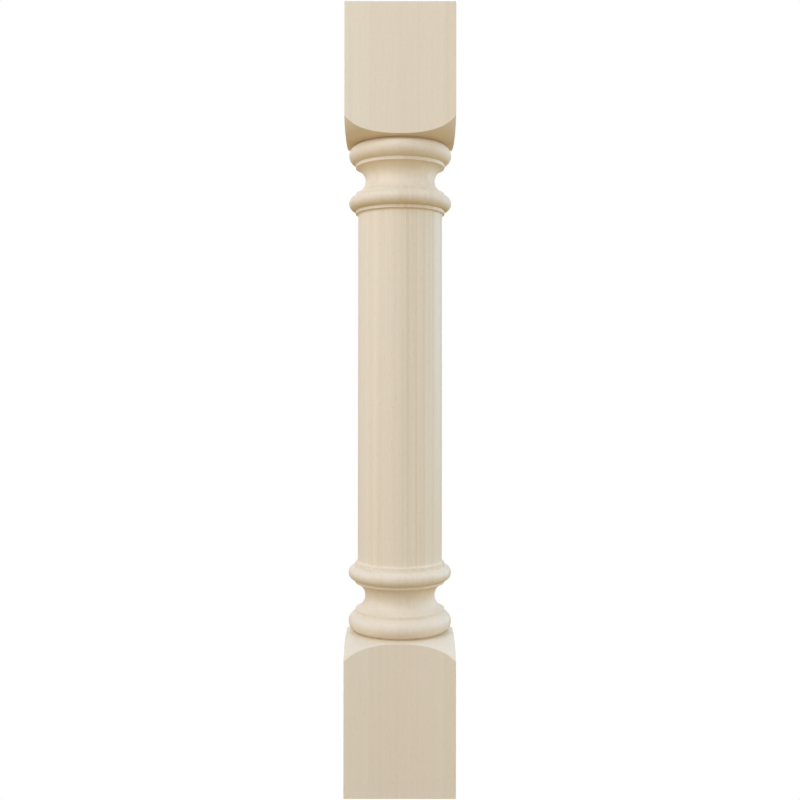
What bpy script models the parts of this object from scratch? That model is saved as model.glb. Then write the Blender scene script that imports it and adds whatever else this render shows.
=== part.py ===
"""Cabinet column: one square post of pale hardwood, turned between two square blocks.

Units are metres and +Z is up. The column stands on z = 0, its axis is the Z axis and
one flat side of each block faces -Y. Both ends carry the same turned moulding, read
from the block towards the shaft: shoulder, quirk, bead, fillet, cove, fillet, bead,
fillet and a small cove that dies into the plain round shaft. Only the shoulders differ:
the lower one falls away a little more steeply from its quirk.
"""
from math import acos, atan2, ceil, copysign, cos, hypot, pi, radians, sin

import bmesh
import bpy

COLUMN_HEIGHT = 0.9017
BLOCK_WIDTH = 0.127
BLOCK_ARRIS = 0.0006

# Each block's height runs from its sawn end to the quirk beside its turned shoulder.
TOP_BLOCK_HEIGHT = 0.1514
BASE_BLOCK_HEIGHT = 0.1762
TOP_SHOULDER_RISE = 0.0215
BASE_SHOULDER_RISE = 0.0222

# A shoulder's slope where it leaves the quirk, from square to the axis.
TOP_SHOULDER_SLOPE = radians(0)
BASE_SHOULDER_SLOPE = radians(5)

SHAFT_DIAMETER = 0.100
FILLET_STEP = 0.00285
BEAD_PROJECTION = 0.0081
COVE_DEPTH = 0.0115

QUIRK_HEIGHT = 0.0003
BLOCK_BEAD_HEIGHT = 0.0212
BLOCK_FILLET_HEIGHT = 0.0039
COVE_HEIGHT = 0.0308
MIDDLE_FILLET_HEIGHT = 0.0033
SHAFT_BEAD_HEIGHT = 0.0172
SHAFT_FILLET_HEIGHT = 0.0038
SHAFT_COVE_HEIGHT = 0.0022

FILLET_RADIUS = SHAFT_DIAMETER / 2 + FILLET_STEP
CORNER_RADIUS = hypot(BLOCK_WIDTH, BLOCK_WIDTH) / 2

# The turned form reaches this far past the square stock, so that both cut cleanly.
OVERRUN = 0.004

FLATS_AROUND = 48
ARC_TOLERANCE = 0.0001
MERGE_DISTANCE = 0.00001
CRISP_ANGLE = radians(35)

WOOD_COLOUR = (0.70, 0.60, 0.46, 1.0)
WOOD_ROUGHNESS = 0.6


def clear_objects():
    """Remove whatever the scene holds."""
    for item in list(bpy.data.objects):
        bpy.data.objects.remove(item, do_unlink=True)


def arc_pieces(arc_radius, angle):
    """The flats that keep an arc within the tolerance."""
    angle_per_piece = 2 * acos(1 - ARC_TOLERANCE / arc_radius)
    return max(2, ceil(angle / angle_per_piece))


def shoulder_profile(rise, slope):
    """The shoulder from outside the block's corners in to the quirk, as (radius, depth).

    Depth is measured from the quirk's edge away from the block. The arc leaves the
    quirk at that slope and passes through the block's corners, that rise away.
    """
    run = CORNER_RADIUS - FILLET_RADIUS
    arc_radius = (run ** 2 + rise ** 2) / (2 * (rise * cos(slope) - run * sin(slope)))
    centre_radius = FILLET_RADIUS - arc_radius * sin(slope)
    centre_depth = -arc_radius * cos(slope)
    corner_angle = atan2(CORNER_RADIUS - centre_radius, -rise - centre_depth)
    pieces = arc_pieces(arc_radius, corner_angle - slope)
    points = [(CORNER_RADIUS + OVERRUN, -rise - OVERRUN)]
    for piece in range(pieces, -1, -1):
        angle = slope + (corner_angle - slope) * piece / pieces
        radius = centre_radius + arc_radius * sin(angle)
        points.append((radius, centre_depth + arc_radius * cos(angle)))
    return points


def member_profile(depth, height, projection):
    """A bead, or a cove where projection is negative, as an arc between two fillets."""
    if projection == 0:
        return []
    half = height / 2
    swell = abs(projection)
    arc_radius = (half ** 2 + swell ** 2) / (2 * swell)
    half_angle = atan2(half, arc_radius - swell)
    side = copysign(1, projection)
    centre_radius = FILLET_RADIUS + projection - side * arc_radius
    pieces = arc_pieces(arc_radius, 2 * half_angle)
    points = []
    for piece in range(pieces + 1):
        angle = half_angle * (2 * piece / pieces - 1)
        radius = centre_radius + side * arc_radius * cos(angle)
        points.append((radius, depth + half + arc_radius * sin(angle)))
    return points


def shaft_cove_profile(depth):
    """The small cove under the last fillet, from the fillet's edge in to the shaft."""
    pieces = arc_pieces(SHAFT_COVE_HEIGHT, pi / 2)
    points = []
    for piece in range(pieces + 1):
        angle = pi / 2 * piece / pieces
        radius = FILLET_RADIUS - FILLET_STEP * sin(angle)
        points.append((radius, depth + SHAFT_COVE_HEIGHT * (1 - cos(angle))))
    return points


def moulding_profile():
    """One end's turned moulding, from its quirk to the shaft, as (radius, depth)."""
    members = (
        (QUIRK_HEIGHT, 0),
        (BLOCK_BEAD_HEIGHT, BEAD_PROJECTION),
        (BLOCK_FILLET_HEIGHT, 0),
        (COVE_HEIGHT, -COVE_DEPTH),
        (MIDDLE_FILLET_HEIGHT, 0),
        (SHAFT_BEAD_HEIGHT, BEAD_PROJECTION),
        (SHAFT_FILLET_HEIGHT, 0),
    )
    points = []
    depth = 0
    for height, projection in members:
        points += member_profile(depth, height, projection)
        depth += height
    return points + shaft_cove_profile(depth)


def column_profile():
    """The turned form from its top centre down its outer side to its bottom centre, as (radius, z)."""
    moulding = moulding_profile()
    top_end = shoulder_profile(TOP_SHOULDER_RISE, TOP_SHOULDER_SLOPE) + moulding
    base_end = shoulder_profile(BASE_SHOULDER_RISE, BASE_SHOULDER_SLOPE) + moulding
    top_quirk = COLUMN_HEIGHT - TOP_BLOCK_HEIGHT
    stock_radius = CORNER_RADIUS + OVERRUN
    top = [(0, COLUMN_HEIGHT + OVERRUN), (stock_radius, COLUMN_HEIGHT + OVERRUN)]
    upper = [(radius, top_quirk - depth) for radius, depth in top_end]
    lower = [(radius, BASE_BLOCK_HEIGHT + depth) for radius, depth in reversed(base_end)]
    bottom = [(stock_radius, -OVERRUN), (0, -OVERRUN)]
    return top + upper + lower + bottom


def turned_form():
    """The column as the lathe would leave it from thicker stock: a screwed profile."""
    profile = column_profile()
    mesh = bpy.data.meshes.new("turned_form")
    vertices = [(radius, 0, height) for radius, height in profile]
    edges = [(index, index + 1) for index in range(len(profile) - 1)]
    mesh.from_pydata(vertices, edges, [])
    form = bpy.data.objects.new("turned_form", mesh)
    bpy.context.collection.objects.link(form)
    form.hide_render = True
    form.display_type = "WIRE"
    screw = form.modifiers.new("Turning", "SCREW")
    screw.axis = "Z"
    screw.steps = FLATS_AROUND
    screw.render_steps = FLATS_AROUND
    screw.use_merge_vertices = True
    screw.merge_threshold = MERGE_DISTANCE
    return form


def square_stock():
    """The square post before turning, its long edges and ends just sanded off."""
    mesh = bpy.data.meshes.new("turned_column")
    build = bmesh.new()
    bmesh.ops.create_cube(build, size=1)
    bmesh.ops.scale(build, vec=(BLOCK_WIDTH, BLOCK_WIDTH, COLUMN_HEIGHT), verts=build.verts)
    bmesh.ops.translate(build, vec=(0, 0, COLUMN_HEIGHT / 2), verts=build.verts)
    bmesh.ops.bevel(build, geom=build.edges, offset=BLOCK_ARRIS, segments=1, affect="EDGES")
    build.to_mesh(mesh)
    build.free()
    stock = bpy.data.objects.new("turned_column", mesh)
    bpy.context.collection.objects.link(stock)
    return stock


def apply_modifiers(piece):
    """Keep the mesh that the modifiers make, shaded smooth with its crisp edges sharp."""
    depsgraph = bpy.context.evaluated_depsgraph_get()
    mesh = bpy.data.meshes.new_from_object(piece.evaluated_get(depsgraph))
    piece.modifiers.clear()
    piece.data = mesh
    mesh.shade_smooth()
    mesh.set_sharp_from_angle(angle=CRISP_ANGLE)


def wood_material():
    """Bare, sanded pale hardwood."""
    material = bpy.data.materials.new("pale_hardwood")
    material.use_nodes = True
    surface = material.node_tree.nodes["Principled BSDF"]
    surface.inputs["Base Color"].default_value = WOOD_COLOUR
    surface.inputs["Roughness"].default_value = WOOD_ROUGHNESS
    surface.inputs["Metallic"].default_value = 0
    return material


def make_column():
    """Turn the square stock: only what lies inside the turned form stays."""
    column = square_stock()
    form = turned_form()
    turning = column.modifiers.new("Turning", "BOOLEAN")
    turning.operation = "INTERSECT"
    turning.solver = "EXACT"
    turning.object = form
    apply_modifiers(column)
    column.data.materials.clear()
    column.data.materials.append(wood_material())
    bpy.data.objects.remove(form, do_unlink=True)


clear_objects()
make_column()
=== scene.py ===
from math import asin, atan2, ceil, copysign, cos, hypot, pi, radians, sin, tan

import bpy
from bpy.props import FloatProperty, FloatVectorProperty, PointerProperty
from bpy.types import Operator, Panel, PropertyGroup
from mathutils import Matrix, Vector


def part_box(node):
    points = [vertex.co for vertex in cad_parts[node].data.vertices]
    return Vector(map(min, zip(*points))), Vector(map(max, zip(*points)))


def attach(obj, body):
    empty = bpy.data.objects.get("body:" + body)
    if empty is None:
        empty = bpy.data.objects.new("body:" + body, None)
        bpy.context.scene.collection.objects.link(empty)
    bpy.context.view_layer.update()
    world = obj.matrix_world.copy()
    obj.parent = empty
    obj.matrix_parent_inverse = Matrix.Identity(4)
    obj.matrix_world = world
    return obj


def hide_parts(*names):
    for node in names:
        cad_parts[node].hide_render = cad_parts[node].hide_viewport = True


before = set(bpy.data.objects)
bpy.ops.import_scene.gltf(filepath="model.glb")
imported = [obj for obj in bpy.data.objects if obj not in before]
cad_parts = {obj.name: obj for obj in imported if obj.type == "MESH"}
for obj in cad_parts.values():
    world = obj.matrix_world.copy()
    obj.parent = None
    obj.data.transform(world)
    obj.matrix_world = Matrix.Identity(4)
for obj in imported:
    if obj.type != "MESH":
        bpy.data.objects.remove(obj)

bl_info = {
    "name": "Cabinet Column",
    "version": (1, 0, 0),
    "blender": (4, 5, 0),
    "location": "3D View > Sidebar > Column",
    "description": "Turns a hardwood column and sets it in a white studio",
    "category": "Object",
}

COLUMN_NODE = "turned_column"
WOOD_SLOT = "pale_hardwood"

CAD_LOW, CAD_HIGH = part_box(COLUMN_NODE)
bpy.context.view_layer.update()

# How finely the surface is meshed: the step is in metres, the sawn ends' rings are
# shares of the block's reach, and the sides' angles stop just short of the corners.
ARC_STEP = 0.0013
SHOULDER_PIECES = 18
EASE_PIECES = 4
CORNER_PIECES = 6
SIDE_PIECES = 44
SIDE_HALF_ANGLE = radians(44.2)
SHAFT_PIECES = 12
END_RINGS = (0.3, 0.6, 0.9)

# The most of a run that one corner's rounding takes up, and the most that its
# point beyond the rounding lies along that run.
EASE_SHARE = 0.3
FLANK_SHARE = 0.48

# Faint upright bands of tone on the planed blocks: where each begins across the
# column, as a share of the block's width from its left side, and its tint.
TONE_BANDS = (
    (0.0, (1.018, 1.046, 1.053)),
    (0.22, (1.0, 1.0, 1.0)),
    (0.815, (1.004, 1.019, 1.017)),
    (0.885, (0.994, 0.996, 0.984)),
    (0.92, (1.0, 1.004, 1.003)),
)

# The bands fade in over the last tenth of the moulding, towards the block, and fade
# out while the surface's normal gains this much of an upright share.
BANDS_BEGIN = 0.9
SHEER_RANGE = (0.1, 0.4)

# Cuts square across the fibres: the upright share of the normal at which they begin
# to darken, and how much they darken between their rings and on them.
END_CUT_LEVEL = 0.95
END_CUT_SHADE = (0.55, 1.0)

# The growth rings: how the sway's noise is stretched, how often seasons and years
# change to the metre, the noise levels between which a year's ring gains strength,
# and how dark a ring is from one spring to the next.
SWAY_SCALE = (14, 14, 0.9)
SEASON_SCALE = 110.0
YEAR_SCALE = 230.0
YEAR_LEVELS = (0.35, 0.65)
YEAR_STRENGTH = (0.25, 1.0)
RING_SHAPE = ((0.12, (0, 0, 0)), (0.9, (1, 1, 1)), (1.0, (0, 0, 0)))

# The long grain's layers: their noise to the metre across and along the column, its
# detail, and the noise levels between which the mask rises.
GRAIN_LAYERS = {
    "boards": {"Across": 26, "Along": 0.5, "Detail": 2, "Low": 0.3, "High": 0.7},
    "streaks": {"Across": 260, "Along": 0.7, "Detail": 3, "Low": 0.37, "High": 0.72},
    "fibres": {"Across": 1300, "Along": 26, "Detail": 2, "Low": 0.25, "High": 0.75},
    "pores": {"Across": 1700, "Along": 130, "Detail": 1, "Low": 0.62, "High": 0.72},
}

# The figure's strength from the palest to the darkest boards of the wood, and the
# roughness from between the streaks to on them.
FIGURE_STRENGTH = (0.4, 1.0)
WOOD_ROUGHNESS = (0.52, 0.66)

# The grain's relief: its height in metres, how deep a pore is beside a fibre's
# height, and how strongly it shows.
RELIEF_HEIGHT = 0.0001
PORE_DEPTH = 1.2
RELIEF_STRENGTH = 0.15

# A colour mix node's own inputs and output, by their index.
MIX_FACTOR = 0
MIX_A = 6
MIX_B = 7
MIX_RESULT = 2

WHITE = (1, 1, 1, 1)

# The floor's side, and how far it lies under the foot, so that the two don't touch.
FLOOR_SIZE = 12
FLOOR_DROP = 0.0005

# The soft lights: each one's name, how far it is turned to the camera's right and
# raised, the setting that holds its power, and its colour. All of them aim at one
# share of the column's height.
LAMPS = (
    ("key_light", radians(-40), radians(40), "key_power", (0.87, 0.905, 1.0)),
    ("left_light", radians(-80), radians(0), "left_power", (0.88, 0.915, 1.0)),
    ("right_light", radians(40), radians(0), "right_power", (0.875, 0.91, 1.0)),
    ("side_light", radians(80), radians(0), "side_power", (0.65, 0.79, 1.0)),
    ("rim_light", radians(115), radians(10), "rim_power", (0.52, 0.73, 1.0)),
    ("back_light", radians(180), radians(20), "back_power", (1.0, 0.95, 0.9)),
)
AIM_SHARE = 0.52

# The column's share of the picture's height.
COLUMN_SHARE = 798.05 / 800


class TurningSizes(PropertyGroup):
    """The column's own sizes. The moulding is the same at both ends."""

    height: FloatProperty(
        name="Height",
        description="From the sawn foot to the sawn top",
        default=CAD_HIGH[2] - CAD_LOW[2],
        unit="LENGTH",
    )
    block_width: FloatProperty(
        name="Block Width",
        description="Side of the square blocks",
        default=CAD_HIGH[0] - CAD_LOW[0],
        unit="LENGTH",
    )
    top_block: FloatProperty(
        name="Top Block",
        description="From the top down to the quirk under the upper block",
        default=0.1514,
        unit="LENGTH",
    )
    base_block: FloatProperty(
        name="Base Block",
        description="From the foot up to the quirk over the lower block",
        default=0.1762,
        unit="LENGTH",
    )
    top_rise: FloatProperty(
        name="Top Shoulder Rise",
        description="From the quirk to where the upper shoulder meets the block's corners",
        default=0.0215,
        unit="LENGTH",
    )
    base_rise: FloatProperty(
        name="Base Shoulder Rise",
        description="From the quirk to where the lower shoulder meets the block's corners",
        default=0.0222,
        unit="LENGTH",
    )
    base_slope: FloatProperty(
        name="Base Shoulder Slope",
        description="How steeply the lower shoulder leaves its quirk; the upper leaves it level",
        default=radians(5),
        subtype="ANGLE",
    )
    shaft_diameter: FloatProperty(
        name="Shaft Diameter",
        description="Across the plain round shaft",
        default=0.100,
        unit="LENGTH",
    )
    fillet_step: FloatProperty(
        name="Fillet Step",
        description="How far the fillets stand out from the shaft",
        default=0.00285,
        unit="LENGTH",
    )
    bead_projection: FloatProperty(
        name="Bead Projection",
        description="How far the beads stand out from the fillets",
        default=0.0081,
        unit="LENGTH",
    )
    cove_depth: FloatProperty(
        name="Cove Depth",
        description="How far the cove is cut in from the fillets",
        default=0.0115,
        unit="LENGTH",
    )
    quirk: FloatProperty(
        name="Quirk",
        description="Height of the narrow groove between block and bead",
        default=0.0003,
        unit="LENGTH",
    )
    block_bead: FloatProperty(
        name="Block Bead",
        description="Height of the bead beside the block",
        default=0.0212,
        unit="LENGTH",
    )
    block_fillet: FloatProperty(
        name="Block Fillet",
        description="Height of the fillet between that bead and the cove",
        default=0.0039,
        unit="LENGTH",
    )
    cove: FloatProperty(
        name="Cove",
        description="Height of the cove",
        default=0.0308,
        unit="LENGTH",
    )
    middle_fillet: FloatProperty(
        name="Middle Fillet",
        description="Height of the fillet between the cove and the shaft's bead",
        default=0.0033,
        unit="LENGTH",
    )
    shaft_bead: FloatProperty(
        name="Shaft Bead",
        description="Height of the bead beside the shaft",
        default=0.0172,
        unit="LENGTH",
    )
    shaft_fillet: FloatProperty(
        name="Shaft Fillet",
        description="Height of the fillet between that bead and the shaft",
        default=0.0038,
        unit="LENGTH",
    )
    shaft_cove: FloatProperty(
        name="Shaft Cove",
        description="Height of the small cove that dies into the shaft",
        default=0.0022,
        unit="LENGTH",
    )
    turned_ease: FloatProperty(
        name="Turned Ease",
        description="How far sanding has rounded the turned edges",
        default=0.00025,
        unit="LENGTH",
    )
    block_ease: FloatProperty(
        name="Block Ease",
        description="How far sanding has rounded the blocks' edges",
        default=0.0006,
        unit="LENGTH",
    )


class WoodFinish(PropertyGroup):
    """Bare, sanded pale hardwood with straight grain."""

    early_wood: FloatVectorProperty(
        name="Early Wood",
        description="Colour of the pale wood between the rings",
        default=(0.825, 0.695, 0.507),
        subtype="COLOR",
        size=3,
    )
    late_wood: FloatVectorProperty(
        name="Late Wood",
        description="Colour of the growth rings",
        default=(0.752, 0.618, 0.405),
        subtype="COLOR",
        size=3,
    )
    fibre: FloatVectorProperty(
        name="Fibres",
        description="Tint of the darker fibres",
        default=(0.965, 0.95, 0.925),
        subtype="COLOR",
        size=3,
    )
    pore: FloatVectorProperty(
        name="Pores",
        description="Colour of the open pores",
        default=(0.46, 0.32, 0.18),
        subtype="COLOR",
        size=3,
    )
    end_grain: FloatVectorProperty(
        name="End Grain",
        description="Tint of wood cut across its fibres",
        default=(0.88, 0.81, 0.70),
        subtype="COLOR",
        size=3,
    )
    ring_width: FloatProperty(
        name="Ring Width",
        description="Distance from one growth ring to the next",
        default=0.0031,
        unit="LENGTH",
    )
    ring_wander: FloatProperty(
        name="Ring Wander",
        description="How far the rings sway from their places along the column",
        default=0.006,
        unit="LENGTH",
    )
    ring_unevenness: FloatProperty(
        name="Ring Unevenness",
        description="How far good and poor seasons shift the rings",
        default=0.008,
        unit="LENGTH",
    )
    ring_share: FloatProperty(
        name="Ring Share",
        description="How strongly the rings show",
        default=0.24,
        subtype="FACTOR",
    )
    board_share: FloatProperty(
        name="Board Share",
        description="How much darker the darkest boards of the wood are",
        default=0.16,
        subtype="FACTOR",
    )
    shaft_streaks: FloatProperty(
        name="Shaft Streaks",
        description="How strongly the streaks show along the shaft",
        default=0.93,
        subtype="FACTOR",
    )
    block_streaks: FloatProperty(
        name="Block Streaks",
        description="How strongly the streaks show on the planed blocks",
        default=0.12,
        subtype="FACTOR",
    )
    fibre_share: FloatProperty(
        name="Fibre Share",
        description="How strongly the darker fibres show",
        default=0.6,
        subtype="FACTOR",
    )
    pore_share: FloatProperty(
        name="Pore Share",
        description="How strongly the open pores show",
        default=0.22,
        subtype="FACTOR",
    )
    specular: FloatProperty(
        name="Specular",
        description="How much light the bare surface mirrors",
        default=0.35,
        subtype="FACTOR",
    )
    smoothing_length: FloatProperty(
        name="Smoothing Length",
        description="How far past each end of the shaft the open grain fades to the blocks' own",
        default=0.10,
        unit="LENGTH",
    )
    pith: FloatVectorProperty(
        name="Pith",
        description="Where the tree's centre ran, beside the column's axis",
        default=(0.21, 0.19, 0.0),
        subtype="TRANSLATION",
        size=3,
    )


class StudioSettings(PropertyGroup):
    """The camera and the lights around the column."""

    camera_distance: FloatProperty(
        name="Camera Distance",
        description="From the column's axis to the lens",
        default=1.20,
        unit="LENGTH",
    )
    camera_rise: FloatProperty(
        name="Camera Rise",
        description="Lens height above the column's middle",
        default=0.0115,
        unit="LENGTH",
    )
    camera_tilt: FloatProperty(
        name="Camera Tilt",
        description="How far the camera looks up from level",
        default=radians(0.46),
        unit="ROTATION",
    )
    camera_roll: FloatProperty(
        name="Camera Roll",
        description="How far the camera leans over to its left",
        default=0.0009,
        unit="ROTATION",
    )
    light_distance: FloatProperty(
        name="Light Distance",
        description="From the column's middle to each soft light",
        default=1.9,
        unit="LENGTH",
    )
    light_size: FloatProperty(
        name="Light Size",
        description="Side of each square soft light",
        default=1.1,
        unit="LENGTH",
    )
    key_power: FloatProperty(
        name="Key Power",
        description="Power of the light above the camera's left",
        default=13.0,
        unit="POWER",
    )
    left_power: FloatProperty(
        name="Left Power",
        description="Power of the light at the left side",
        default=12.7,
        unit="POWER",
    )
    right_power: FloatProperty(
        name="Right Power",
        description="Power of the light at the camera's right",
        default=10.7,
        unit="POWER",
    )
    side_power: FloatProperty(
        name="Side Power",
        description="Power of the faint light at the right side",
        default=4.0,
        unit="POWER",
    )
    rim_power: FloatProperty(
        name="Rim Power",
        description="Power of the cool light behind the right side",
        default=14.2,
        unit="POWER",
    )
    back_power: FloatProperty(
        name="Back Power",
        description="Power of the light behind the column, for its far side",
        default=7.0,
        unit="POWER",
    )
    sky: FloatVectorProperty(
        name="Sky",
        description="Colour of the even light from above the horizon",
        default=(0.575, 0.675, 0.895),
        subtype="COLOR",
        size=3,
    )
    floor_glow: FloatVectorProperty(
        name="Floor Glow",
        description="Colour of the warm light that the floor throws up at the column",
        default=(0.355, 0.263, 0.092),
        subtype="COLOR",
        size=3,
    )


def fillet_radius(sizes):
    """The radius that all the fillets share."""
    return sizes.shaft_diameter / 2 + sizes.fillet_step


def arc_pieces(arc_radius, angle):
    """Pieces of about one arc step each."""
    return max(4, ceil(arc_radius * angle / ARC_STEP))


def shoulder_section(sizes, side_reach, rise, slope):
    """The shoulder from where it meets the block's side in to the quirk.

    A section is a list of (radius, depth, ease). Depth runs from the quirk towards the
    shaft, and ease is how far that corner is rounded, or 0 on a smooth run.
    """
    inner = fillet_radius(sizes)
    run = hypot(sizes.block_width, sizes.block_width) / 2 - inner
    arc_radius = (run ** 2 + rise ** 2) / (2 * (rise * cos(slope) - run * sin(slope)))
    centre_radius = inner - arc_radius * sin(slope)
    side_angle = asin((side_reach - centre_radius) / arc_radius)
    points = []
    for piece in range(SHOULDER_PIECES, -1, -1):
        angle = slope + (side_angle - slope) * piece / SHOULDER_PIECES
        ease = 0
        if piece == SHOULDER_PIECES:
            ease = sizes.block_ease
        if piece == 0:
            ease = sizes.turned_ease
        radius = centre_radius + arc_radius * sin(angle)
        points.append((radius, arc_radius * (cos(angle) - cos(slope)), ease))
    return points


def member_section(sizes, depth, height, projection):
    """A bead, or a cove where projection is negative, as an arc between two fillets."""
    half = height / 2
    swell = abs(projection)
    arc_radius = (half ** 2 + swell ** 2) / (2 * swell)
    half_angle = atan2(half, arc_radius - swell)
    side = copysign(1, projection)
    centre_radius = fillet_radius(sizes) + projection - side * arc_radius
    pieces = arc_pieces(arc_radius, 2 * half_angle)
    points = []
    for piece in range(pieces + 1):
        angle = half_angle * (2 * piece / pieces - 1)
        ease = sizes.turned_ease if piece in (0, pieces) else 0
        radius = centre_radius + side * arc_radius * cos(angle)
        points.append((radius, depth + half + arc_radius * sin(angle), ease))
    return points


def shaft_cove_section(sizes, depth):
    """The small cove under the last fillet, from the fillet's edge in to the shaft."""
    pieces = arc_pieces(sizes.shaft_cove, pi / 2)
    points = []
    for piece in range(pieces + 1):
        angle = pi / 2 * piece / pieces
        radius = fillet_radius(sizes) - sizes.fillet_step * sin(angle)
        ease = sizes.turned_ease if piece == 0 else 0
        points.append((radius, depth + sizes.shaft_cove * (1 - cos(angle)), ease))
    return points


def moulding_section(sizes):
    """One end's moulding, from the quirk to the shaft."""
    depth = sizes.quirk
    points = member_section(sizes, depth, sizes.block_bead, sizes.bead_projection)
    depth += sizes.block_bead + sizes.block_fillet
    points += member_section(sizes, depth, sizes.cove, -sizes.cove_depth)
    depth += sizes.cove + sizes.middle_fillet
    points += member_section(sizes, depth, sizes.shaft_bead, sizes.bead_projection)
    depth += sizes.shaft_bead + sizes.shaft_fillet
    return points + shaft_cove_section(sizes, depth)


def column_section(sizes, moulding, side_reach):
    """The half section of the column from the foot's centre up to the top's centre."""
    base_end = shoulder_section(sizes, side_reach, sizes.base_rise, sizes.base_slope) + moulding
    lower = [(radius, sizes.base_block + depth, ease) for radius, depth, ease in base_end]
    top_end = shoulder_section(sizes, side_reach, sizes.top_rise, 0) + moulding
    top_quirk = sizes.height - sizes.top_block
    upper = [(radius, top_quirk - depth, ease) for radius, depth, ease in reversed(top_end)]
    foot = [(side_reach * ring, 0, 0) for ring in (0, *END_RINGS)]
    foot.append((side_reach, 0, sizes.block_ease))
    top = [(radius, sizes.height, ease) for radius, _, ease in reversed(foot)]
    shaft_low = lower[-1][1]
    shaft_high = upper[0][1]
    shaft = []
    for piece in range(1, SHAFT_PIECES):
        along = (1 - cos(pi * piece / SHAFT_PIECES)) / 2
        shaft.append((sizes.shaft_diameter / 2, shaft_low + (shaft_high - shaft_low) * along, 0))
    first = (sizes.shaft_diameter / 2, shaft_low + ARC_STEP, 0)
    last = (sizes.shaft_diameter / 2, shaft_high - ARC_STEP, 0)
    return foot + lower + [first] + shaft + [last] + upper + top


def eased(section):
    """The section with its marked corners rounded, as (radius, height) points.

    Each rounded corner keeps a point on the straight run at both its sides, which
    holds the smooth shading of the runs flat.
    """
    points = [Vector(section[0][:2])]
    for before, corner, after in zip(section, section[1:], section[2:]):
        here = Vector(corner[:2])
        ease = corner[2]
        if not ease:
            points.append(here)
            continue
        back = Vector(before[:2]) - here
        ahead = Vector(after[:2]) - here
        start = here + back.normalized() * min(ease, back.length * EASE_SHARE)
        finish = here + ahead.normalized() * min(ease, ahead.length * EASE_SHARE)
        points.append(here + back.normalized() * min(2 * ease, back.length * FLANK_SHARE))
        for piece in range(EASE_PIECES + 1):
            way = piece / EASE_PIECES
            points.append(start.lerp(here, way).lerp(here.lerp(finish, way), way))
        points.append(here + ahead.normalized() * min(2 * ease, ahead.length * FLANK_SHARE))
    points.append(Vector(section[-1][:2]))
    return points


def side_angles(sizes):
    """Angles around the column, and how far the eased square reaches at each one."""
    half = sizes.block_width / 2
    centre = half - sizes.block_ease
    one_side = []
    for piece in range(SIDE_PIECES + 1):
        angle = SIDE_HALF_ANGLE * (2 * piece / SIDE_PIECES - 1)
        one_side.append((angle, half / cos(angle)))
    for piece in range(CORNER_PIECES + 1):
        turn = pi / 2 * piece / CORNER_PIECES
        across = centre + sizes.block_ease * cos(turn)
        along = centre + sizes.block_ease * sin(turn)
        one_side.append((atan2(along, across), hypot(along, across)))
    angles = []
    for side in range(4):
        angles += [(angle + side * pi / 2, reach) for angle, reach in one_side]
    return angles


def column_mesh(sizes):
    """A closed grid: one eased section for each angle around, and a fan at each end."""
    moulding = moulding_section(sizes)
    angles = side_angles(sizes)
    vertices = []
    for angle, reach in angles:
        rows = eased(column_section(sizes, moulding, reach))[1:-1]
        vertices += [(radius * cos(angle), radius * sin(angle), rise) for radius, rise in rows]
    foot_centre = len(vertices)
    top_centre = foot_centre + 1
    vertices += [(0, 0, 0), (0, 0, sizes.height)]
    faces = []
    count = foot_centre // len(angles)
    for column in range(len(angles)):
        here = column * count
        there = (column + 1) % len(angles) * count
        faces.append((foot_centre, there, here))
        for row in range(count - 1):
            faces.append((here + row, there + row, there + row + 1, here + row + 1))
        faces.append((top_centre, here + count - 1, there + count - 1))
    mesh = bpy.data.meshes.new("finished_column")
    mesh.from_pydata(vertices, [], faces)
    mesh.shade_smooth()
    return mesh


def moulding_depth(sizes):
    """How far one end's moulding reaches, from its quirk to the plain shaft."""
    return moulding_section(sizes)[-1][1]


def shaft_span(sizes):
    """The height of the plain shaft's middle, and half its length."""
    foot = sizes.base_block + moulding_depth(sizes)
    head = sizes.height - sizes.top_block - moulding_depth(sizes)
    return (foot + head) / 2, (head - foot) / 2


def opaque(colour):
    """A colour with full opacity, as the colour sockets take it."""
    return (*colour, 1)


def feed(tree, node, inputs):
    """Give a node its inputs, each one a plain value or another node's output."""
    for name, value in inputs.items():
        if isinstance(value, bpy.types.NodeSocket):
            tree.links.new(value, node.inputs[name])
        else:
            node.inputs[name].default_value = value


def add_node(tree, kind, place, settings=None, inputs=None):
    """A node of that kind at that place, with its settings and its inputs."""
    made = tree.nodes.new(kind)
    made.location = place
    for name, value in (settings or {}).items():
        setattr(made, name, value)
    feed(tree, made, inputs or {})
    return made


def calculate(tree, place, operation, *values):
    """The answer of a maths node that is given those values."""
    inputs = dict(enumerate(values))
    return add_node(tree, "ShaderNodeMath", place, {"operation": operation}, inputs).outputs[0]


def calculate_vector(tree, place, operation, *values):
    """The answer of a vector maths node: a vector, or a number for a length."""
    inputs = dict(enumerate(values))
    made = add_node(tree, "ShaderNodeVectorMath", place, {"operation": operation}, inputs)
    return made.outputs["Value" if operation == "LENGTH" else "Vector"]


def noise_value(tree, place, dimensions, inputs):
    """The grey value of a noise texture in that many dimensions."""
    settings = {"noise_dimensions": dimensions}
    return add_node(tree, "ShaderNodeTexNoise", place, settings, inputs).outputs["Fac"]


def remap(tree, place, value, from_range=(0.0, 1.0), to_range=(0.0, 1.0)):
    """The value carried from one range over to another, and held inside it."""
    inputs = {
        "Value": value,
        "From Min": from_range[0],
        "From Max": from_range[1],
        "To Min": to_range[0],
        "To Max": to_range[1],
    }
    return add_node(tree, "ShaderNodeMapRange", place, None, inputs).outputs["Result"]


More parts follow.
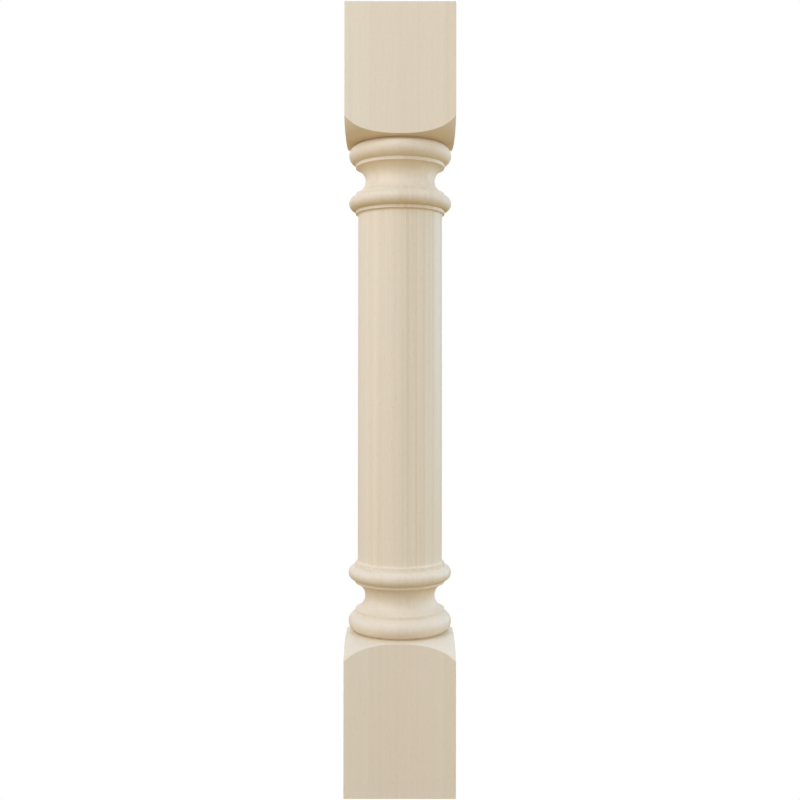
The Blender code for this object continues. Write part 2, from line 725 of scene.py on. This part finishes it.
def colour_ramp(tree, place, share, interpolation, stops):
    """A colour ramp's answer at that share; each stop is its position and its colour."""
    made = add_node(tree, "ShaderNodeValToRGB", place, None, {"Fac": share})
    made.color_ramp.interpolation = interpolation
    elements = made.color_ramp.elements
    elements.remove(elements[1])
    for index, (position, colour) in enumerate(stops):
        stop = elements.new(position) if index else elements[0]
        stop.position = position
        stop.color = opaque(colour)
    return made.outputs["Color"]


def mix_colour(tree, place, blend, share, first, second):
    """The first colour blended with that share of the second."""
    settings = {"data_type": "RGBA", "blend_type": blend}
    inputs = {MIX_FACTOR: share, MIX_A: first, MIX_B: second}
    return add_node(tree, "ShaderNodeMix", place, settings, inputs).outputs[MIX_RESULT]


def new_group(name, inputs, outputs):
    """An empty node group with those named sockets, and its input and output nodes."""
    tree = bpy.data.node_groups.new(name, "ShaderNodeTree")
    for socket_name, kind, default in inputs:
        socket = tree.interface.new_socket(name=socket_name, in_out="INPUT", socket_type=kind)
        if default is not None:
            socket.default_value = default
    for socket_name, kind in outputs:
        tree.interface.new_socket(name=socket_name, in_out="OUTPUT", socket_type=kind)
    start = add_node(tree, "NodeGroupInput", (-1000, 0))
    end = add_node(tree, "NodeGroupOutput", (800, 0))
    return tree, start, end


def growth_rings_group():
    """Rings around a pith: 0 in the early wood, up to 1 at the late wood's dark edge."""
    tree, start, end = new_group(
        "Growth Rings",
        [
            ("Place", "NodeSocketVector", None),
            ("Pith", "NodeSocketVector", None),
            ("Ring Width", "NodeSocketFloat", 0.003),
            ("Wander", "NodeSocketFloat", 0.004),
            ("Unevenness", "NodeSocketFloat", 0.004),
        ],
        [("Late Wood", "NodeSocketFloat")],
    )
    given = start.outputs
    offset = calculate_vector(tree, (-800, 200), "SUBTRACT", given["Place"], given["Pith"])
    flat = calculate_vector(tree, (-600, 200), "MULTIPLY", offset, (1, 1, 0))
    reach = calculate_vector(tree, (-400, 200), "LENGTH", flat)

    # The rings wander slowly along the column.
    slow = calculate_vector(tree, (-800, -200), "MULTIPLY", given["Place"], SWAY_SCALE)
    sway = noise_value(
        tree,
        (-600, -200),
        "3D",
        {"Vector": slow, "Scale": 1.0, "Detail": 2.0, "Roughness": 0.55},
    )
    swing = calculate(tree, (-400, -200), "MULTIPLY", sway, given["Wander"])
    swayed = calculate(tree, (-200, 0), "ADD", reach, swing)

    # Good and poor seasons set the rings unevenly far apart, and some years are fainter.
    seasons = noise_value(
        tree, (-400, 400), "1D", {"W": reach, "Scale": SEASON_SCALE, "Detail": 1.0}
    )
    grown = calculate(tree, (-200, 300), "MULTIPLY_ADD", seasons, given["Unevenness"], swayed)
    count = calculate(tree, (0, 0), "DIVIDE", grown, given["Ring Width"])
    within = calculate(tree, (200, 0), "FRACT", count)
    shape = colour_ramp(tree, (400, 0), within, "EASE", RING_SHAPE)
    years = noise_value(tree, (200, 400), "1D", {"W": reach, "Scale": YEAR_SCALE, "Detail": 0.0})
    contrast = remap(tree, (400, 400), years, YEAR_LEVELS, YEAR_STRENGTH)
    late = calculate(tree, (650, 100), "MULTIPLY", shape, contrast)
    feed(tree, end, {"Late Wood": late})
    return tree


def long_grain_group():
    """Noise drawn out along the column: boards, streaks, fibres or pores, by its values."""
    tree, start, end = new_group(
        "Long Grain",
        [
            ("Place", "NodeSocketVector", None),
            ("Across", "NodeSocketFloat", 200.0),
            ("Along", "NodeSocketFloat", 4.0),
            ("Detail", "NodeSocketFloat", 2.0),
            ("Low", "NodeSocketFloat", 0.3),
            ("High", "NodeSocketFloat", 0.7),
        ],
        [("Mask", "NodeSocketFloat")],
    )
    given = start.outputs
    stretch = add_node(
        tree,
        "ShaderNodeCombineXYZ",
        (-800, -100),
        None,
        {"X": given["Across"], "Y": given["Across"], "Z": given["Along"]},
    )
    drawn = calculate_vector(tree, (-600, 0), "MULTIPLY", given["Place"], stretch.outputs[0])
    noise = noise_value(
        tree,
        (-400, 0),
        "3D",
        {"Vector": drawn, "Scale": 1.0, "Detail": given["Detail"], "Roughness": 0.6},
    )
    mask = add_node(
        tree,
        "ShaderNodeMapRange",
        (0, 0),
        {"interpolation_type": "SMOOTHSTEP"},
        {"Value": noise, "From Min": given["Low"], "From Max": given["High"]},
    )
    feed(tree, end, {"Mask": mask.outputs["Result"]})
    return tree


def grain_masks(tree, finish, place):
    """The wood's masks by name: its growth rings, and the layers of its long grain."""
    rings = add_node(
        tree,
        "ShaderNodeGroup",
        (-1000, 500),
        {"node_tree": growth_rings_group()},
        {
            "Place": place,
            "Pith": finish.pith,
            "Ring Width": finish.ring_width,
            "Wander": finish.ring_wander,
            "Unevenness": finish.ring_unevenness,
        },
    )
    masks = {"rings": rings.outputs["Late Wood"]}
    grain = long_grain_group()
    for index, (name, values) in enumerate(GRAIN_LAYERS.items()):
        layer = add_node(
            tree,
            "ShaderNodeGroup",
            (-1000, 250 - 250 * index),
            {"node_tree": grain},
            {"Place": place, **values},
        )
        masks[name] = layer.outputs["Mask"]
    return masks


def figured_wood(tree, finish, masks, opened):
    """The wood's colour, with its figure strong in some boards and faint in others."""
    streaks = calculate(tree, (-600, 600), "MULTIPLY", masks["streaks"], opened)
    rings = calculate(tree, (-700, 450), "MULTIPLY", masks["rings"], finish.ring_share)
    figure = calculate(tree, (-500, 350), "ADD", streaks, rings)
    strength = remap(tree, (-700, 200), masks["boards"], to_range=FIGURE_STRENGTH)
    boards = calculate(tree, (-700, 0), "MULTIPLY", masks["boards"], finish.board_share)
    shade = calculate(tree, (-300, 250), "MULTIPLY_ADD", figure, strength, boards)
    early = opaque(finish.early_wood)
    late = opaque(finish.late_wood)
    wood = mix_colour(tree, (-100, 250), "MIX", shade, early, late)
    fibres = calculate(tree, (-300, -50), "MULTIPLY", masks["fibres"], finish.fibre_share)
    fibred = mix_colour(tree, (100, 150), "MULTIPLY", fibres, wood, opaque(finish.fibre))
    pores = calculate(tree, (-300, -300), "MULTIPLY", masks["pores"], finish.pore_share)
    return mix_colour(tree, (300, 100), "MIX", pores, fibred, opaque(finish.pore))


def banded_wood(tree, sizes, wood, across, from_middle, upright):
    """The planed blocks show bands of tone side by side; the turned parts hide them."""
    half_width = sizes.block_width / 2
    width_share = remap(tree, (-200, 1200), across, (-half_width, half_width))
    tint = colour_ramp(tree, (0, 1200), width_share, "CONSTANT", TONE_BANDS)
    _, half_shaft = shaft_span(sizes)
    moulding = moulding_depth(sizes)
    begin = half_shaft + moulding * BANDS_BEGIN
    planed = remap(tree, (0, 950), from_middle, (begin, half_shaft + moulding))
    sheer = remap(tree, (150, 1000), upright, SHEER_RANGE, (1.0, 0.0))
    flats = calculate(tree, (250, 950), "MULTIPLY", planed, sheer)
    return mix_colour(tree, (400, 350), "MULTIPLY", flats, wood, tint)


def end_cut_wood(tree, finish, wood, rings, upright):
    """Cuts square across the fibres darken the wood and show its rings."""
    level = remap(tree, (50, 750), upright, (END_CUT_LEVEL, 1.0))
    ringed = remap(tree, (-100, 550), rings, to_range=END_CUT_SHADE)
    across_fibres = calculate(tree, (200, 650), "MULTIPLY", level, ringed)
    end_grain = opaque(finish.end_grain)
    return mix_colour(tree, (500, 300), "MULTIPLY", across_fibres, wood, end_grain)


def hardwood_material(finish, sizes):
    """Solid wood: its rings, streaks, fibres and pores run through the column along Z."""
    material = bpy.data.materials.new(WOOD_SLOT)
    material.use_nodes = True
    tree = material.node_tree
    place = add_node(tree, "ShaderNodeTexCoord", (-1400, 0)).outputs["Object"]
    spot = add_node(tree, "ShaderNodeSeparateXYZ", (-1200, 900), None, {0: place}).outputs
    facing = add_node(tree, "ShaderNodeNewGeometry", (-500, 750)).outputs["Normal"]
    normal = add_node(tree, "ShaderNodeSeparateXYZ", (-300, 750), None, {0: facing}).outputs
    upright = calculate(tree, (-100, 750), "ABSOLUTE", normal["Z"])
    masks = grain_masks(tree, finish, place)

    # The lathe opens the grain most along the shaft; the planed blocks are smoothest.
    middle, half_shaft = shaft_span(sizes)
    off_middle = calculate(tree, (-1000, 900), "SUBTRACT", spot["Z"], middle)
    from_middle = calculate(tree, (-900, 750), "ABSOLUTE", off_middle)
    opened = remap(
        tree,
        (-800, 900),
        from_middle,
        (half_shaft, half_shaft + finish.smoothing_length),
        (finish.shaft_streaks, finish.block_streaks),
    )

    wood = figured_wood(tree, finish, masks, opened)
    wood = banded_wood(tree, sizes, wood, spot["X"], from_middle, upright)
    wood = end_cut_wood(tree, finish, wood, masks["rings"], upright)
    roughness = remap(tree, (300, -200), masks["streaks"], to_range=WOOD_ROUGHNESS)
    relief = calculate(
        tree, (100, -400), "MULTIPLY_ADD", masks["pores"], -PORE_DEPTH, masks["fibres"]
    )
    bump = add_node(
        tree,
        "ShaderNodeBump",
        (500, -400),
        None,
        {"Height": relief, "Strength": RELIEF_STRENGTH, "Distance": RELIEF_HEIGHT},
    )
    surface = tree.nodes["Principled BSDF"]
    surface.location = (900, 0)
    tree.nodes["Material Output"].location = (1200, 0)
    feed(
        tree,
        surface,
        {
            "Base Color": wood,
            "Roughness": roughness,
            "Specular IOR Level": finish.specular,
            "Normal": bump.outputs["Normal"],
        },
    )
    return material


def camera_choice(tree, hidden, seen):
    """One shader for the light that it throws, and another one that the camera sees."""
    ray = add_node(tree, "ShaderNodeLightPath", (0, 400))
    chosen = add_node(
        tree,
        "ShaderNodeMixShader",
        (250, 100),
        None,
        {0: ray.outputs["Is Camera Ray"], 1: hidden.outputs[0], 2: seen.outputs[0]},
    )
    return chosen.outputs[0]


def floor_material(studio):
    """Plain white to the camera, and a warm glow in the light that it throws up."""
    material = bpy.data.materials.new("white_floor")
    material.use_nodes = True
    tree = material.node_tree
    tree.nodes.remove(tree.nodes["Principled BSDF"])
    warm = opaque(studio.floor_glow)
    glow = add_node(tree, "ShaderNodeEmission", (-400, 0), None, {"Color": warm})
    plain = add_node(tree, "ShaderNodeEmission", (-400, -200), None, {"Color": WHITE})
    feed(tree, tree.nodes["Material Output"], {"Surface": camera_choice(tree, glow, plain)})
    return material


def studio_world(sky):
    """Pure white behind the column, and an even light from above the horizon."""
    world = bpy.data.worlds.new("white_studio")
    world.use_nodes = True
    tree = world.node_tree
    where = add_node(tree, "ShaderNodeTexCoord", (-600, 0)).outputs["Generated"]
    split = add_node(tree, "ShaderNodeSeparateXYZ", (-400, 0), None, {0: where}).outputs
    above = calculate(tree, (-200, 0), "GREATER_THAN", split["Z"], 0)
    light = tree.nodes["Background"]
    feed(tree, light, {"Color": opaque(sky), "Strength": above})
    backdrop = add_node(tree, "ShaderNodeBackground", (0, -200), None, {"Color": WHITE})
    feed(tree, tree.nodes["World Output"], {"Surface": camera_choice(tree, light, backdrop)})
    return world


def soft_light(name, place, aim, size, power, colour):
    """A square area light at place, turned to aim."""
    lamp = bpy.data.lights.new(name, "AREA")
    lamp.size = size
    lamp.energy = power
    lamp.color = colour
    holder = bpy.data.objects.new(name, lamp)
    bpy.context.collection.objects.link(holder)
    holder.location = place
    holder.rotation_mode = "QUATERNION"
    holder.rotation_quaternion = (Vector(aim) - Vector(place)).to_track_quat("-Z", "Y")


def light_column(studio, sizes):
    """The soft lights, all at one distance from the column and turned to it."""
    middle = Vector((0, 0, sizes.height * AIM_SHARE))
    for name, turn, rise, power, colour in LAMPS:
        reach = studio.light_distance * cos(rise)
        away = Vector((
            reach * sin(turn),
            -reach * cos(turn),
            studio.light_distance * sin(rise),
        ))
        soft_light(
            name, middle + away, middle, studio.light_size, getattr(studio, power), colour
        )


def lay_floor(studio):
    """The floor just under the column's foot."""
    bpy.ops.mesh.primitive_plane_add(size=FLOOR_SIZE, location=(0, 0, -FLOOR_DROP))
    floor = bpy.context.object
    floor.name = "floor"
    floor.data.materials.append(floor_material(studio))


def photo_camera(studio, sizes):
    """Square to the front and just above the middle, with the column filling the height."""
    front = studio.camera_distance - sizes.block_width / 2
    half = sizes.height / 2
    top = tan(atan2(half - studio.camera_rise, front) - studio.camera_tilt)
    foot = tan(atan2(-half - studio.camera_rise, front) - studio.camera_tilt)
    camera = bpy.data.cameras.new("camera")
    camera.lens = camera.sensor_width * COLUMN_SHARE / (top - foot)
    camera.shift_y = (top + foot) / 2 * camera.lens / camera.sensor_width
    holder = bpy.data.objects.new("camera", camera)
    bpy.context.collection.objects.link(holder)
    holder.location = (0, -studio.camera_distance, sizes.height / 2 + studio.camera_rise)
    holder.rotation_euler = (radians(90) + studio.camera_tilt, -studio.camera_roll, 0)
    bpy.context.scene.camera = holder


class COLUMN_OT_turn_column(Operator):
    """Turn the finished column and give it its wood"""

    bl_idname = "cabinet_column.turn_column"
    bl_label = "Turn the Column"

    def execute(self, context):
        scene = context.scene
        column = bpy.data.objects.new("finished_column", column_mesh(scene.column_sizes))
        context.collection.objects.link(column)
        column.data.materials.append(hardwood_material(scene.column_wood, scene.column_sizes))
        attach(column, "root")
        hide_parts(COLUMN_NODE)
        return {"FINISHED"}


class COLUMN_OT_set_studio(Operator):
    """Set the white floor, the soft lights and the camera"""

    bl_idname = "cabinet_column.set_studio"
    bl_label = "Set the Studio"

    def execute(self, context):
        scene = context.scene
        studio = scene.column_studio
        sizes = scene.column_sizes
        lay_floor(studio)
        light_column(studio, sizes)
        scene.world = studio_world(studio.sky)
        scene.view_settings.view_transform = "Standard"
        photo_camera(studio, sizes)
        return {"FINISHED"}


class COLUMN_PT_sidebar(Panel):
    """The column's sizes, wood and studio"""

    bl_label = "Cabinet Column"
    bl_idname = "COLUMN_PT_sidebar"
    bl_space_type = "VIEW_3D"
    bl_region_type = "UI"
    bl_category = "Column"

    def draw(self, context):
        layout = self.layout
        layout.use_property_split = True
        for group in (
            context.scene.column_sizes,
            context.scene.column_wood,
            context.scene.column_studio,
        ):
            box = layout.box()
            for name in group.bl_rna.properties.keys():
                if name not in ("rna_type", "name"):
                    box.prop(group, name)
        layout.operator(COLUMN_OT_turn_column.bl_idname)
        layout.operator(COLUMN_OT_set_studio.bl_idname)


CLASSES = (
    TurningSizes,
    WoodFinish,
    StudioSettings,
    COLUMN_OT_turn_column,
    COLUMN_OT_set_studio,
    COLUMN_PT_sidebar,
)


def register():
    for made in CLASSES:
        bpy.utils.register_class(made)
    bpy.types.Scene.column_sizes = PointerProperty(type=TurningSizes)
    bpy.types.Scene.column_wood = PointerProperty(type=WoodFinish)
    bpy.types.Scene.column_studio = PointerProperty(type=StudioSettings)


def unregister():
    del bpy.types.Scene.column_studio
    del bpy.types.Scene.column_wood
    del bpy.types.Scene.column_sizes
    for made in reversed(CLASSES):
        bpy.utils.unregister_class(made)


def main():
    """Register, and make the column and its studio."""
    register()
    bpy.ops.cabinet_column.turn_column()
    bpy.ops.cabinet_column.set_studio()


if __name__ == "__main__":
    main()
